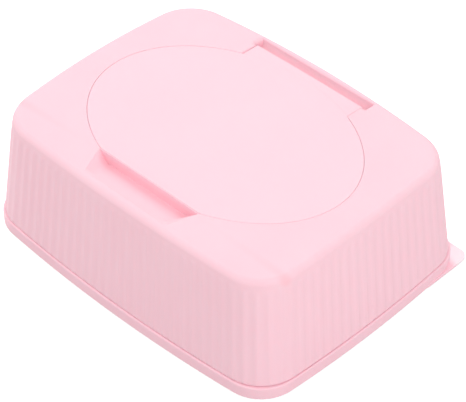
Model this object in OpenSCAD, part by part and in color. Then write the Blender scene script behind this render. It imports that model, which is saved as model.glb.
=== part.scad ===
// Countertop box for wet wipes: a ribbed casing with a flip lid over a soft outlet,
// standing on a base cover that comes off for refilling.
// Millimetres. X runs along the box, -Y is the finger-scoop side, +Y the hinge side.
// The origin is the middle of the footprint, on the table.

/* [Box] */
// Length of the top, across the middle of its two ends
top_l = 179.8; // [165:1:200]
// Width of the top, from its front to its back
top_w = 137.4; // [132:0.2:150]
// Height from the table to the middle of the domed top
box_h = 70; // [55:1:90]
// How far the dome falls from its middle to the middle of any side
crown = 2.5; // [1:0.1:3.5]
// Slope of the walls, in degrees from upright
draft = 5.2; // [2:0.1:8]
// Radius of the upright corners
corner_r = 22; // [16:0.5:28]
// Outward bow of the two long sides
bow_l = 4.9; // [2:0.1:8]
// Outward bow of the two short sides
bow_w = 3.4; // [2:0.1:6]
// Rounding where the top meets the walls
edge_r = 2.3; // [1:0.1:3]
// Thickness of the moulded casing
wall = 2.2; // [1.6:0.1:2.8]

/* [Ribs] */
// Upright ribs on each quarter of the casing
quarter_ribs = 26; // [16:1:30]
// Radius of the half-round ribs
rib_r = 4; // [2:0.1:5]
// How far a rib stands out of the wall
rib_rise = 0.5; // [0.2:0.05:0.8]
// Smooth band left between the ribs and the top rounding
rib_stop = 1.5; // [0.5:0.1:6]

/* [Lid] */
// Length of the oval lid
lid_l = 146.8; // [136:0.2:150]
// Width of the oval, as if its front were not cut straight
lid_w = 107.8; // [104:0.2:110]
// Distance from the middle of the box to the straight front edge of the lid
lid_front = 49; // [44:0.5:50]
// Thickness of the lid
lid_t = 2; // [1.4:0.1:2.6]
// Running gap round the lid
lid_gap = 0.5; // [0.3:0.05:0.8]
// Rounding of the lid's upper edge
lid_edge_r = 0.6; // [0.2:0.1:1]
// How far the lid's edge leans in towards its underside
lid_edge_in = 0.4; // [0.3:0.1:0.8]
// Depth of the recess floor below the middle of the dome
recess_d = 8.6; // [8:0.1:12]
// Width of the catch tongue under the front of the lid
catch_w = 16; // [8:1:30]
// Thickness of the catch tongue and of the sill that it grips
catch_t = 1.4; // [1:0.1:2]
// Clearance between the tongue and the sill
catch_fit = 0.15; // [0.1:0.05:0.3]
// Distance of the sill behind the lid's front edge
sill_set = 2; // [1:0.1:3]

/* [Finger scoop] */
// Width of the scoop at the lid's front edge
scoop_back_w = 65; // [45:1:70]
// Width of the scoop at its front
scoop_front_w = 53; // [35:1:60]
// How far in the scoop's end walls lean
scoop_side_in = 4.6; // [1:0.1:6]
// Distance from the middle of the box to the front of the scoop
scoop_front = 64.2; // [60:0.2:65]
// Depth of the scoop at its front
scoop_lip = 0.8; // [0.4:0.1:1.5]

/* [Hinge] */
// Width of the lid's hinge tab
tab_w = 68.4; // [50:0.2:80]
// Distance from the middle of the box to the end of the hinge tab
tab_end = 59; // [56:0.5:60.5]
// How far the top of the hinge tab lies below the lid
tab_drop = 0.4; // [0:0.1:0.8]
// Length of the open slot behind the hinge tab
slot_l = 72.2; // [69:0.2:84]
// Width of the open slot behind the hinge tab
slot_w = 5.7; // [5:0.1:6]
// Depth of the hinge axis below the lid's top
hinge_drop = 3.9; // [3.6:0.1:4.6]
// Radius of the hinge barrel
barrel_r = 2.4; // [2:0.1:2.6]
// Radius of the moulded hinge pins
pin_r = 1.5; // [1:0.1:1.8]
// Length of a hinge pin inside its bore
pin_l = 2.6; // [1.5:0.1:3.2]
// Radial clearance of a hinge pin in its bore
pin_fit = 0.06; // [0.02:0.01:0.1]
// Thickness of the ears that hold the hinge pins
ear_t = 4.2; // [4:0.1:6]
// Play at the end of each pin
pin_play = 0.2; // [0.1:0.05:0.4]

/* [Outlet] */
// Length of the hole in the recess floor
outlet_l = 84; // [60:1:90]
// Width of the hole in the recess floor
outlet_w = 34; // [24:1:38]
// How far the soft insert overlaps the hole
insert_lap = 3; // [1.5:0.1:4]
// Thickness of the soft insert
insert_t = 1.2; // [0.8:0.1:1.8]
// Length of the slit that the wipes come through
slit_l = 60; // [30:1:70]
// Width of the slit
slit_w = 6; // [5:0.5:10]
// Diameter of the slit's round middle
slit_d = 18; // [12:1:20]
// Height of the soft lip round the slit
slit_lip = 1.4; // [0.6:0.1:2]
// Thickness of the soft lip round the slit
slit_rim = 1.5; // [1:0.1:2.5]
// Length of the lid seal, along the middle of its section
seal_l = 112; // [108:1:120]
// Width of the lid seal, along the middle of its section
seal_w = 62; // [56:1:68]
// Width of the lid seal's section
seal_t = 3; // [2:0.1:4]
// Height of the lid seal's section
seal_h = 3.2; // [2:0.1:3.6]
// How far the lid seal stands out of its groove
seal_proud = 0.8; // [0.4:0.1:1.2]
// Thickness of the two walls that hold the lid seal
groove_t = 1.2; // [0.8:0.1:1.6]

/* [Base cover] */
// Height of the cover's outer band
band_h = 6.9; // [5:0.1:12]
// How far the band stands out of the casing above it
ledge = 0.8; // [0.4:0.1:2]
// Shadow gap between the casing and the band
line_gap = 0.5; // [0.3:0.1:1]
// How much tighter the cover's corners are than the casing's
corner_tuck = 1.2; // [0:0.1:2]
// Thickness of the cover's floor
floor_t = 2; // [1.6:0.1:3]
// Inset of the casing's bottom lip from the face of the wall
lip_inset = 1; // [0.8:0.1:1.2]
// Clearance between the casing's lip and the band
lip_fit = 0.25; // [0.2:0.05:0.4]
// Thickness of the cover's inner rim
rim_t = 1.4; // [1:0.1:2.5]
// Height of the inner rim above the bottom of the casing's wall
rim_rise = 4; // [2:0.5:10]
// Clearance between the inner rim and the casing
rim_fit = 0.3; // [0.2:0.05:0.6]
// Height of the base seal
base_seal_h = 1.4; // [0.8:0.1:2]
// Rounding of the pull tab's corner
pull_r = 5; // [3:0.5:8]
// Inset of the pull tab's end from the full length of the cover
pull_end = 0.9; // [0.5:0.1:2]
// Inset of the pull tab's back from the full width of the cover
pull_back = 3.2; // [2:0.1:4]

/* [Feet] */
// Diameter of a foot pad
foot_d = 14; // [8:1:20]
// Thickness of a foot pad
foot_t = 1.2; // [1:0.1:1.6]
// How far the foot pads hold the cover off the table
foot_stand = 0.6; // [0.3:0.1:0.8]
// Distance of the pads' middles from the cover's sides
foot_in = 25; // [16:1:34]
// Clearance round a pad in its pocket
foot_fit = 0.1; // [0.05:0.05:0.3]

/* [Hidden] */

shell_pink = [0.96, 0.76, 0.81];
lid_pink = [0.98, 0.8, 0.85];
cover_pink = [0.95, 0.77, 0.82];
silicone_white = [0.93, 0.91, 0.91];
pad_grey = [0.85, 0.82, 0.83];

// Cutters run past the faces that they open by this much
over = 1;
// A joint between two shapes of one piece reaches this far into each
bite = 0.4;

// Steps of the outline: along half of a short side, round a corner, along half of a long side
side_steps = 3;
corner_steps = 7;
front_steps = 4;
// Steps along each side of the lid's oval
oval_steps = 24;
// Steps of the rounding at the top of the walls
edge_steps = 3;
// Rings that carry the dome inward, as shares of the outline
dome_rings = [0.75, 0.5, 0.25];

half_l = top_l / 2;
half_w = top_w / 2;
slope = tan(draft);
// Circles that the bowed sides lie on
long_r = half_l * half_l / (2 * bow_l) + bow_l / 2;
short_r = half_w * half_w / (2 * bow_w) + bow_w / 2;
long_c = [0, half_w - long_r];
short_c = [half_l - short_r, 0];

// Levels, from the table up
band_top = foot_stand + band_h;
wall_z = band_top + line_gap;
floor_z = foot_stand + floor_t;
lip_z = floor_z + base_seal_h;
rim_top = wall_z + rim_rise;
recess_z = box_h - recess_d;

// Growth of the outline at the foot of the walls
foot_grow = (box_h - wall_z) * slope;
// The inner rim stays clear of the casing, which leans in above it
rim_inset = wall + rim_rise * slope + rim_fit;

// Hinge
tab_half = tab_w / 2;
hinge_y = tab_end - barrel_r;
hinge_z = box_h - crown * pow(hinge_y / half_w, 2) - hinge_drop;
// Furthest that the end of the tab reaches from the axis as the lid turns
tab_sweep = norm([tab_end - hinge_y, hinge_drop]);
pocket_z = hinge_z - tab_sweep - bite;
pocket_y = hinge_y - barrel_r - lid_gap;
slot_y = tab_end + slot_w;

// Catch
sill_y = -lid_front + sill_set + catch_t;
sill_half = (lid_l / 2 + lid_gap) * sqrt(1 - pow(sill_y / (lid_w / 2 + lid_gap), 2)) + bite;
tongue_y = sill_y + catch_fit;

// Lid seal and the ring that carries it
carrier_t = seal_t + 2 * groove_t;
carrier_z = recess_z + seal_proud;
carrier_top = dome_z([seal_l / 2, 0]) - lid_t / 3;

// Soft insert
insert_z = recess_z + insert_t;
neck_z = recess_z - wall;

// Growth of the outline at the faces of the base cover
band_grow = foot_grow + ledge;
channel_grow = foot_grow - lip_inset + lip_fit;
rim_grow = foot_grow - rim_inset;

function dir(a) = [cos(a), sin(a)];

// Height of the dome over a point of the plan
function dome_z(p) = box_h - crown * (pow(p.x / half_l, 2) + pow(p.y / half_w, 2));

// Growth of the outline at a height, from the slope of the walls
function grow_at(z) = (box_h - z) * slope;

// Middle of a corner's arc of radius r that meets both bowed sides smoothly
function corner_c(grow, r) =
    let (
        reach = long_r + grow - r,
        other = short_r + grow - r,
        span = short_c - long_c,
        d = norm(span),
        u = span / d,
        t = (d * d + reach * reach - other * other) / (2 * d)
    )
    long_c + t * u + sqrt(reach * reach - t * t) * [u.y, -u.x];

function heading(from, to) = atan2(to.y - from.y, to.x - from.x);

// A quarter of the outline, from the middle of the right side to the middle of the back
function quarter(grow, r) =
    let (
        c = corner_c(grow, r),
        a = heading(short_c, c),
        b = heading(long_c, c)
    )
    concat(
        [for (i = [0:side_steps - 1]) short_c + (short_r + grow) * dir(a * i / side_steps)],
        [for (i = [0:corner_steps]) c + r * dir(a + (b - a) * i / corner_steps)],
        [for (i = [1:front_steps]) long_c + (long_r + grow) * dir(b + (90 - b) * i / front_steps)]
    );

// Bowed rectangle with round corners, grown evenly past the top's size
function outline(grow, r) =
    let (q = quarter(grow, r), last = len(q) - 1)
    concat(
        q,
        [for (i = [last - 1:-1:0]) [-q[i].x, q[i].y]],
        [for (i = [1:last]) [-q[i].x, -q[i].y]],
        [for (i = [last - 1:-1:1]) [q[i].x, -q[i].y]]
    );

// Point and outward heading at a share of the way round a quarter
function rim_point(grow, r, share) =
    let (
        c = corner_c(grow, r),
        a = heading(short_c, c),
        b = heading(long_c, c),
        short_len = (short_r + grow) * a * PI / 180,
        corner_len = r * (b - a) * PI / 180,
        long_len = (long_r + grow) * (90 - b) * PI / 180,
        s = share * (short_len + corner_len + long_len),
        past = s - short_len - corner_len
    )
    s < short_len ? on_arc(short_c, short_r + grow, a * s / short_len)
    : past < 0 ? on_arc(c, r, a + (b - a) * (s - short_len) / corner_len)
    : on_arc(long_c, long_r + grow, b + (90 - b) * past / long_len);

function on_arc(c, r, a) = [each c + r * dir(a), a];

function at_level(points, z) = [for (p = points) [p.x, p.y, z]];

// The same points laid on the dome, or a given drop below it
function on_dome(points, drop = 0) = [for (p = points) [p.x, p.y, dome_z(p) - drop]];

// Points of the plan brought towards its middle, to a share of their distance
function shrunk(points, share) = [for (p = points) p * share];

// Points of the lid's plan brought in by a distance at its front edge
function drawn_in(points, distance) = shrunk(points, 1 - distance / lid_front);

// Plan of the lid, grown: an oval cut straight at the front
function oval(grow, front) =
    let (
        a = lid_l / 2 + grow,
        b = lid_w / 2 + grow,
        first = -asin(front / b),
        side = [
            for (i = [0:oval_steps])
                let (t = first + (90 - first) * i / oval_steps) [a * cos(t), b * sin(t)]
        ],
        cut = side[0].x
    )
    concat(
        side,
        [for (i = [oval_steps - 1:-1:0]) [-side[i].x, side[i].y]],
        [for (s = [-0.5, 0, 0.5]) [s * cut, -front]]
    );

// Middle of a ring of points
function middle(ring) = [for (k = [0:2]) let (v = [for (p = ring) p[k]]) v * [for (x = v) 1] / len(v)];

// Plan of a slot with round ends
function stadium(l, w, steps = 12) =
    let (r = w / 2, c = l / 2 - r)
    concat(
        [for (i = [0:steps]) [c, 0] + r * dir(-90 + 180 * i / steps)],
        [for (i = [0:steps]) [-c, 0] + r * dir(90 + 180 * i / steps)]
    );

// Plan of an ellipse of a given full length and width
function ellipse(l, w, steps = 56) =
    [for (i = [0:steps - 1]) let (t = 360 * i / steps) [l / 2 * cos(t), w / 2 * sin(t)]];

// Closed solid through a stack of rings, which run counterclockwise seen from its far end
module loft(rings) {
    n = len(rings[0]);
    m = len(rings);
    polyhedron(
        concat([for (ring = rings) each ring], [middle(rings[0]), middle(rings[m - 1])]),
        concat(
            [for (k = [0:m - 2], i = [0:n - 1]) [k * n + i, (k + 1) * n + i, (k + 1) * n + (i + 1) % n]],
            [for (k = [0:m - 2], i = [0:n - 1]) [k * n + i, (k + 1) * n + (i + 1) % n, k * n + (i + 1) % n]],
            [for (i = [0:n - 1]) [i, (i + 1) % n, m * n]],
            [for (i = [0:n - 1]) [(m - 1) * n + (i + 1) % n, (m - 1) * n + i, m * n + 1]]
        )
    );
}

// Upright prism between two heights
module prism(points, low, high) {
    translate([0, 0, low]) linear_extrude(high - low) polygon(points);
}

// Upright wall between two outlines
module ring(outer, inner, low, high) {
    translate([0, 0, low]) linear_extrude(high - low) difference() {
        polygon(outer);
        polygon(inner);
    }
}

// Round bar from one point to another
module bar(from, to, r, steps) {
    v = to - from;
    translate(from) rotate([0, acos(v.z / norm(v)), atan2(v.y, v.x)]) cylinder(h = norm(v), r = r, $fn = steps);
}

// Round bar along X, centred on the hinge axis
module hinge_bar(x0, x1, r) {
    translate([x0, hinge_y, hinge_z]) rotate([0, 90, 0]) cylinder(h = x1 - x0, r = r, $fn = 48);
}

// Block given by its low and high corners
module block(low, high) {
    translate(low) cube(high - low);
}

// ---- Casing ----

// Sloping walls, rounded top edge and domed top, without the ribs
module skin() {
    top = outline(-edge_r, corner_r - edge_r);
    loft(concat(
        [at_level(outline(foot_grow, corner_r), wall_z)],
        [
            for (i = [0:edge_steps])
                let (a = 90 * i / edge_steps, tuck = edge_r * (1 - cos(a)), fall = edge_r * (1 - sin(a)))
                on_dome(outline(fall * slope - tuck, corner_r - tuck), fall)
        ],
        [for (s = dome_rings) on_dome(shrunk(top, s))]
    ));
}

// The half-round ribs of one quarter, each following the slope of the wall
module ribs_of_quarter() {
    sunk = rib_r - rib_rise;
    for (i = [0:quarter_ribs - 1]) {
        share = (i + 0.5) / quarter_ribs;
        foot = rim_point(foot_grow, corner_r, share);
        head = rim_point(0, corner_r, share);
        stop = dome_z(head) - edge_r - rib_stop;
        rise = (stop - wall_z - bite) / (box_h - wall_z);
        low = [foot.x, foot.y, wall_z + bite] - sunk * [each dir(foot.z), 0];
        full = [head.x, head.y, box_h] - sunk * [each dir(head.z), 0];
        bar(low, low + (full - low) * rise, rib_r, 48);
    }
}

// Room inside the walls and under the top
module inner_room() {
    top = outline(wall * slope - wall, corner_r - wall);
    loft(concat(
        [at_level(outline(grow_at(wall_z - over) - wall, corner_r - wall), wall_z - over)],
        [on_dome(top, wall)],
        [for (s = dome_rings) on_dome(shrunk(top, s), wall)]
    ));
}

// Finger scoop, grown on all sides and far enough forward to run into the front wall
module scoop(grow) {
    front = -scoop_front - 2 * grow;
    back = -lid_front + bite;
    front_half = scoop_front_w / 2 + grow;
    back_half = scoop_back_w / 2 + grow;
    edge = [[-front_half, front], [front_half, front], [back_half, back], [-back_half, back]];
    low = [for (p = edge) [p.x - sign(p.x) * scoop_side_in, p.y]];
    front_z = dome_z([0, -scoop_front]) - scoop_lip - grow;
    loft([
        [for (p = low) [p.x, p.y, p.y == back ? recess_z - grow : front_z]],
        on_dome(edge),
        at_level(edge, box_h + over)
    ]);
}

// Room that the lid and its tab lie in, grown on all sides
module lid_room(grow) {
    half = tab_half + lid_gap + grow;
    prism(oval(lid_gap + grow, lid_front + grow), recess_z - grow, box_h + over);
    block([-half, 0, recess_z - grow], [half, tab_end + bite, box_h + over]);
}

// Deeper room that the hinge barrel turns in, with the open slot behind it,
// grown on all sides and far enough back to run into the rear wall
module hinge_room(side, grow) {
    half = tab_half + lid_gap + side;
    low = pocket_z - grow;
    back = slot_y + 2 * grow;
    block([-half, pocket_y - grow, low], [half, back, box_h + over]);
    block([-slot_l / 2 - grow, tab_end, low], [slot_l / 2 + grow, back, box_h + over]);
}

// Lip that drops into the base cover and presses on its seal
module bottom_lip() {
    ring(
        outline(foot_grow - lip_inset, corner_r - lip_inset),
        outline(foot_grow - wall, corner_r - wall),
        lip_z, wall_z + bite
    );
}

// Sill that closes the back of the scoop under the lid's front edge,
// and that the lid's catch tongue grips from behind
module sill() {
    top = dome_z([sill_half, -lid_front]) - lid_t - lid_gap;
    block([-sill_half, sill_y - catch_t, recess_z - bite], [sill_half, sill_y, top]);
}

module casing() {
    bore = tab_half + lid_gap + pin_l + pin_play;
    color(shell_pink) {
        difference() {
            union() {
                skin();
                for (mx = [0, 1], my = [0, 1]) mirror([mx, 0, 0]) mirror([0, my, 0]) ribs_of_quarter();
            }
            difference() {
                inner_room();
                lid_room(wall);
                scoop(wall);
                hinge_room(ear_t, wall);
            }
            lid_room(0);
            scoop(0);
            hinge_room(0, 0);
            hinge_bar(-bore, bore, pin_r + pin_fit);
            prism(stadium(outlet_l, outlet_w), neck_z - over, recess_z + over);
        }
        bottom_lip();
        sill();
    }
}

// ---- Soft outlet ----

// Slit with a round middle, grown on all sides
module slit(grow, low, high) {
    prism(stadium(slit_l + 2 * grow, slit_w + 2 * grow), low, high);
    translate([0, 0, low]) cylinder(h = high - low, d = slit_d + 2 * grow, $fn = 48);
}

module outlet_insert() {
    lap = 2 * insert_lap;
    color(silicone_white) difference() {
        union() {
            prism(stadium(outlet_l + lap, outlet_w + lap), recess_z, insert_z);
            prism(stadium(outlet_l, outlet_w), neck_z - bite, recess_z + bite);
            prism(stadium(outlet_l + insert_lap, outlet_w + insert_lap), neck_z - insert_t, neck_z);
            slit(slit_rim, recess_z, insert_z + slit_lip);
        }
        prism(stadium(outlet_l - 2 * insert_t, outlet_w - 2 * insert_t), neck_z - insert_t - over, recess_z);
        slit(0, recess_z - over, insert_z + slit_lip + over);
    }
}

// ---- Lid ----

// Domed oval with a leaning edge, rounded at the top
module lid_plate() {
    plan = oval(0, lid_front);
    loft(concat(
        [for (i = [len(dome_rings) - 1:-1:0]) on_dome(shrunk(plan, dome_rings[i]), lid_t)],
        [on_dome(drawn_in(plan, lid_edge_in), lid_t)],
        [
            for (a = [0, 45, 90])
                on_dome(drawn_in(plan, lid_edge_r * (1 - cos(a))), lid_edge_r * (1 - sin(a)))
        ],
        [for (s = dome_rings) on_dome(shrunk(plan, s))]
    ));
}

// Tab that runs back from the oval to the hinge barrel
module hinge_tab() {
    front = lid_w / 3;
    drop = tab_drop + lid_t;
    loft([
        for (s = [-1:0.25:1])
            let (low = [s * tab_half, front], high = [s * tab_half, tab_end])
            [
                [low.x, low.y, dome_z(low) - drop],
                [high.x, high.y, dome_z(high) - drop],
                [high.x, high.y, dome_z(high) - tab_drop],
                [low.x, low.y, dome_z(low) - tab_drop]
            ]
    ]);
}

module lid() {
    pin_end = tab_half + lid_gap + pin_l;
    color(lid_pink) {
        lid_plate();
        hinge_tab();
        hinge_bar(-tab_half, tab_half, barrel_r);
        hinge_bar(-pin_end, pin_end, pin_r);
        difference() {
            ring(
                ellipse(seal_l + carrier_t, seal_w + carrier_t),
                ellipse(seal_l - carrier_t, seal_w - carrier_t),
                carrier_z, carrier_top
            );
            seal_ring(carrier_z - over);
        }
        block(
            [-catch_w / 2, tongue_y, recess_z + lid_gap],
            [catch_w / 2, tongue_y + catch_t, dome_z([0, tongue_y]) - lid_t / 2]
        );
    }
}

// The seal's ring, from a given height up to the roof of its groove
module seal_ring(low) {
    ring(
        ellipse(seal_l + seal_t, seal_w + seal_t),
        ellipse(seal_l - seal_t, seal_w - seal_t),
        low, recess_z + seal_h
    );
}

module lid_seal() {
    color(silicone_white) seal_ring(recess_z);
}

// ---- Base ----

// Thin corner of the cover that a fingertip pulls to open it
module pull_tab() {
    tip = [half_l + band_grow - pull_end, half_w + band_grow - pull_back];
    // Where the tab's straight edges leave the bowed sides of the cover
    start_y = sqrt(pow(short_r + band_grow, 2) - pow(tip.x - short_c.x, 2));
    start_x = sqrt(pow(long_r + band_grow, 2) - pow(tip.y - long_c.y, 2));
    centre = tip - [pull_r, pull_r];
    prism(
        concat(
            [[start_x, start_y], [tip.x, start_y]],
            [for (i = [0:corner_steps]) centre + pull_r * dir(90 * i / corner_steps)],
            [[start_x, tip.y]]
        ),
        foot_stand, floor_z
    );
}

// Middle of the foot pad on a given side
function foot_at(sx, sy) = [sx * (half_l + band_grow - foot_in), sy * (half_w + band_grow - foot_in)];

module pad(sx, sy, grow) {
    translate([each foot_at(sx, sy), 0]) cylinder(h = foot_t, d = foot_d + 2 * grow, $fn = 48);
}

module base_cover() {
    color(cover_pink) difference() {
        union() {
            difference() {
                prism(outline(band_grow, corner_r - corner_tuck), foot_stand, band_top);
                prism(outline(channel_grow, corner_r - lip_inset + lip_fit), floor_z, band_top + over);
            }
            ring(
                outline(rim_grow, corner_r - rim_inset),
                outline(rim_grow - rim_t, corner_r - rim_inset - rim_t),
                floor_z - bite, rim_top
            );
            pull_tab();
        }
        for (sx = [-1, 1], sy = [-1, 1]) pad(sx, sy, foot_fit);
    }
}

module base_seal() {
    color(silicone_white) ring(
        outline(channel_grow, corner_r - lip_inset + lip_fit),
        outline(rim_grow, corner_r - rim_inset),
        floor_z, lip_z
    );
}

module foot(sx, sy) {
    color(pad_grey) pad(sx, sy, 0);
}

casing();
outlet_insert();
lid();
lid_seal();
base_cover();
base_seal();
foot(-1, -1);  // foot_front_left
foot(1, -1);  // foot_front_right
foot(-1, 1);  // foot_rear_left
foot(1, 1);  // foot_rear_right
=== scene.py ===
"""Looks of a countertop box for wet wipes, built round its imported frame.

A ribbed polypropylene casing with a flip lid stands on a base cover with a pull tab.
Sizes are in millimetres, in the frame's axes, and meshes are written in metres.
"""

import logging
import math
from collections.abc import Callable, Sequence
from dataclasses import dataclass, field, replace
from enum import Enum
from typing import Any

import bmesh
import bpy
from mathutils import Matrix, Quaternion, Vector


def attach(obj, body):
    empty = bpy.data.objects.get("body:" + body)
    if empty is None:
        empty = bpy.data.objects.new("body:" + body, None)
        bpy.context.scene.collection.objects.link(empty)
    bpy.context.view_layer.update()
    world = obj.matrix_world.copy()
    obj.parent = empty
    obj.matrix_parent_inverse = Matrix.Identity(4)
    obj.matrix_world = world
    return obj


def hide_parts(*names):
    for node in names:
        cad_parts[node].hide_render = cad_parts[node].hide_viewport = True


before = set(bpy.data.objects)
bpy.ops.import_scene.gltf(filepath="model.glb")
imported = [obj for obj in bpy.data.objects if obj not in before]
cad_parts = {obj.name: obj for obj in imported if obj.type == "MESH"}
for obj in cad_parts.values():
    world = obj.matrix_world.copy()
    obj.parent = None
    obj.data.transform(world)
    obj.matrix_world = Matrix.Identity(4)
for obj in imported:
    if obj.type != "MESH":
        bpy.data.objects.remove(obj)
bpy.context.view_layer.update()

MM = 0.001
# Cutters run past the faces that they open by this much, in mm
OVER = 1.0
# A joint between two shapes of one piece reaches this far into each, in mm
BITE = 0.4
# Two cutters that meet at a wall overlap by this much, in mm
MEET = 0.05
# Points that lie closer than this, in mm, become one
WELD = 0.002
# How strongly a large flat face leads the shading of its corners, out of 100
FACE_PULL = 80
log = logging.getLogger("wipes_box")

Point = tuple[float, float, float]
Plan = list[tuple[float, float]]
Ring = list[Point]
Grown = Callable[[float], Plan]


class Body(Enum):
    """Rigid bodies of the frame that a piece can ride on."""

    BASE = "base"
    CASING = "casing"
    LID = "lid"


class Slot(Enum):
    """Material slots of the record."""

    CASING = "casing"
    LID = "lid"
    BASE_COVER = "base_cover"
    SOFT_INSERT = "soft_insert"
    SEAL = "seal"
    FOOT_PAD = "foot_pad"


class Cut(Enum):
    """What a second solid does to the first."""

    TAKE = "DIFFERENCE"
    JOIN = "UNION"


# ---- Plans, rings and solids ----


def fillet(radius: float, steps: int = 6) -> list[tuple[float, float]]:
    """Quarter of a circle that turns a flat face into an upright one.

    Args:
        radius: radius of the rounding, in mm.
        steps: number of straight steps along it.

    Returns:
        Pairs of the distance from the flat face and the distance in from the upright one.
    """
    if not radius:
        return [(0.0, 0.0)]
    turns = [math.pi / 2 * i / steps for i in range(steps + 1)]
    return [(radius * (1 - math.sin(t)), radius * (1 - math.cos(t))) for t in turns]


def rounded(corners: Plan, radii: float | Sequence[float], steps: int = 5) -> Plan:
    """Polygon with its corners turned into arcs.

    Args:
        corners: corners of a convex polygon, counterclockwise.
        radii: one radius for every corner, or one for each, in mm.
        steps: number of straight steps round a corner.

    Returns:
        The points of the rounded polygon.
    """
    plan: Plan = []
    count = len(corners)
    each = [radii] * count if isinstance(radii, float) else radii
    for i, (corner, radius) in enumerate(zip(corners, each)):
        here = Vector(corner)
        before = (Vector(corners[i - 1]) - here).normalized()
        after = (Vector(corners[(i + 1) % count]) - here).normalized()
        half = before.angle(after) / 2
        centre = here + (before + after).normalized() * radius / math.sin(half)
        start = here + before * radius / math.tan(half) - centre
        sweep = math.pi - 2 * half
        for k in range(steps + 1):
            turn = sweep * k / steps
            plan.append((
                centre.x + start.x * math.cos(turn) - start.y * math.sin(turn),
                centre.y + start.x * math.sin(turn) + start.y * math.cos(turn),
            ))
    return plan


def rectangle(half: float, low: float, high: float) -> Plan:
    """Corners of a rectangle that is centred on X, counterclockwise."""
    return [(-half, low), (half, low), (half, high), (-half, high)]


def circle(radius: float, centre: tuple[float, float] = (0, 0), steps: int = 48) -> Plan:
    """Points of a circle, counterclockwise."""
    turns = [2 * math.pi * i / steps for i in range(steps)]
    return [(centre[0] + radius * math.cos(t), centre[1] + radius * math.sin(t)) for t in turns]


def stadium(length: float, width: float, steps: int = 24) -> Plan:
    """Plan of a slot with round ends, centred on the origin.

    Args:
        length: its full length, in mm.
        width: its width, in mm.
        steps: number of straight steps round an end.

    Returns:
        The plan, counterclockwise.
    """
    radius = width / 2
    reach = length / 2 - radius
    turns = [math.pi * (i / steps - 0.5) for i in range(steps + 1)]
    right = [(reach + radius * math.cos(t), radius * math.sin(t)) for t in turns]
    return right + [(-x, -y) for x, y in right]


def ellipse(length: float, width: float, steps: int = 160) -> Plan:
    """Plan of an ellipse of a given full length and width, counterclockwise."""
    turns = [2 * math.pi * i / steps for i in range(steps)]
    return [(length / 2 * math.cos(t), width / 2 * math.sin(t)) for t in turns]


def level(plan: Plan, height: float) -> Ring:
    """The plan's points at one height."""
    return [(x, y, height) for x, y in plan]


def make_object(name: str, points: Sequence[Point],
                faces: Sequence[Sequence[int]]) -> bpy.types.Object:
    """Mesh from points in mm, with its faces turned outwards.

    Args:
        name: name of the object.
        points: corners, in mm.
        faces: corner numbers of each face.

    Returns:
        The linked object, in metres, at the origin.
    """
    mesh = bpy.data.meshes.new(name)
    mesh.from_pydata([tuple(c * MM for c in p) for p in points], [], faces)
    shape = bmesh.new()
    shape.from_mesh(mesh)
    bmesh.ops.recalc_face_normals(shape, faces=shape.faces)
    shape.to_mesh(mesh)
    shape.free()
    piece = bpy.data.objects.new(name, mesh)
    bpy.context.scene.collection.objects.link(piece)
    return piece


def loft(name: str, rings: Sequence[Ring]) -> bpy.types.Object:
    """Closed solid through a stack of rings.

    Args:
        name: name of the object.
        rings: rings with equal numbers of points; the first or last may be a single point.

    Returns:
        The solid; an end that isn't a single point is closed by a flat face.
    """
    points: list[Point] = []
    starts: list[int] = []
    for ring in rings:
        starts.append(len(points))
        points.extend(ring)
    faces: list[list[int]] = []
    for k in range(len(rings) - 1):
        low, high = starts[k], starts[k + 1]
        below, above = len(rings[k]), len(rings[k + 1])
        count = max(below, above)
        for i in range(count):
            j = (i + 1) % count
            if below == 1:
                faces.append([low, high + j, high + i])
            elif above == 1:
                faces.append([low + i, low + j, high])
            else:
                faces.append([low + i, low + j, high + j, high + i])
    if len(rings[0]) > 1:
        faces.append(list(range(len(rings[0])))[::-1])
    if len(rings[-1]) > 1:
        faces.append([starts[-1] + i for i in range(len(rings[-1]))])
    return make_object(name, points, faces)


def closed_band(name: str, rings: Sequence[Ring]) -> bpy.types.Object:
    """Closed ring-shaped solid through rings that go once round its section.

    Args:
        name: name of the object.
        rings: rings with equal numbers of points; the last is joined to the first.

    Returns:
        The solid.
    """
    count = len(rings[0])
    points = [p for ring in rings for p in ring]
    faces = []
    for k in range(len(rings)):
        low, high = k * count, (k + 1) % len(rings) * count
        for i in range(count):
            j = (i + 1) % count
            faces.append([low + i, low + j, high + j, high + i])
    return make_object(name, points, faces)


def band(name: str, plan_at: Grown, profile: Plan) -> bpy.types.Object:
    """Closed band whose section, given as growths and heights, follows a plan all the way round."""
    return closed_band(name, [level(plan_at(grow), height) for grow, height in profile])


def soft_section(inner: float, outer: float, low: float, high: float, radius: float) -> Plan:
    """Section of a band between two growths and two heights, with all four corners rounded."""
    return rounded([(inner, low), (outer, low), (outer, high), (inner, high)], radius, 4)


def puck(name: str, plan_at: Grown, low: float, high: float,
         low_r: float, high_r: float) -> bpy.types.Object:
    """Upright solid with a rounded edge at its foot and at its head.

    Args:
        name: name of the object.
        plan_at: gives the plan grown by a distance in mm.
        low: height of its foot, in mm.
        high: height of its head, in mm.
        low_r: rounding at the foot, in mm.
        high_r: rounding at the head, in mm.

    Returns:
        The solid.
    """
    foot = [level(plan_at(-inset), low + rise) for rise, inset in fillet(low_r)][::-1]
    head = [level(plan_at(-inset), high - drop) for drop, inset in fillet(high_r)]
    return loft(name, foot + head)


def combine(piece: bpy.types.Object, others: Sequence[bpy.types.Object],
            cut: Cut) -> bpy.types.Object:
    """Joins other solids to a piece or takes them away, and removes the others.

    Args:
        piece: the solid that is kept.
        others: the solids that act on it.
        cut: whether they are joined or taken away.

    Returns:
        The piece, with a plain mesh.
    """
    for other in others:
        modifier = piece.modifiers.new("combine", "BOOLEAN")
        modifier.operation = cut.value
        modifier.solver = "MANIFOLD"
        modifier.object = other
    bake(piece)
    for other in others:
        bpy.data.objects.remove(other)
    return piece


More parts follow.
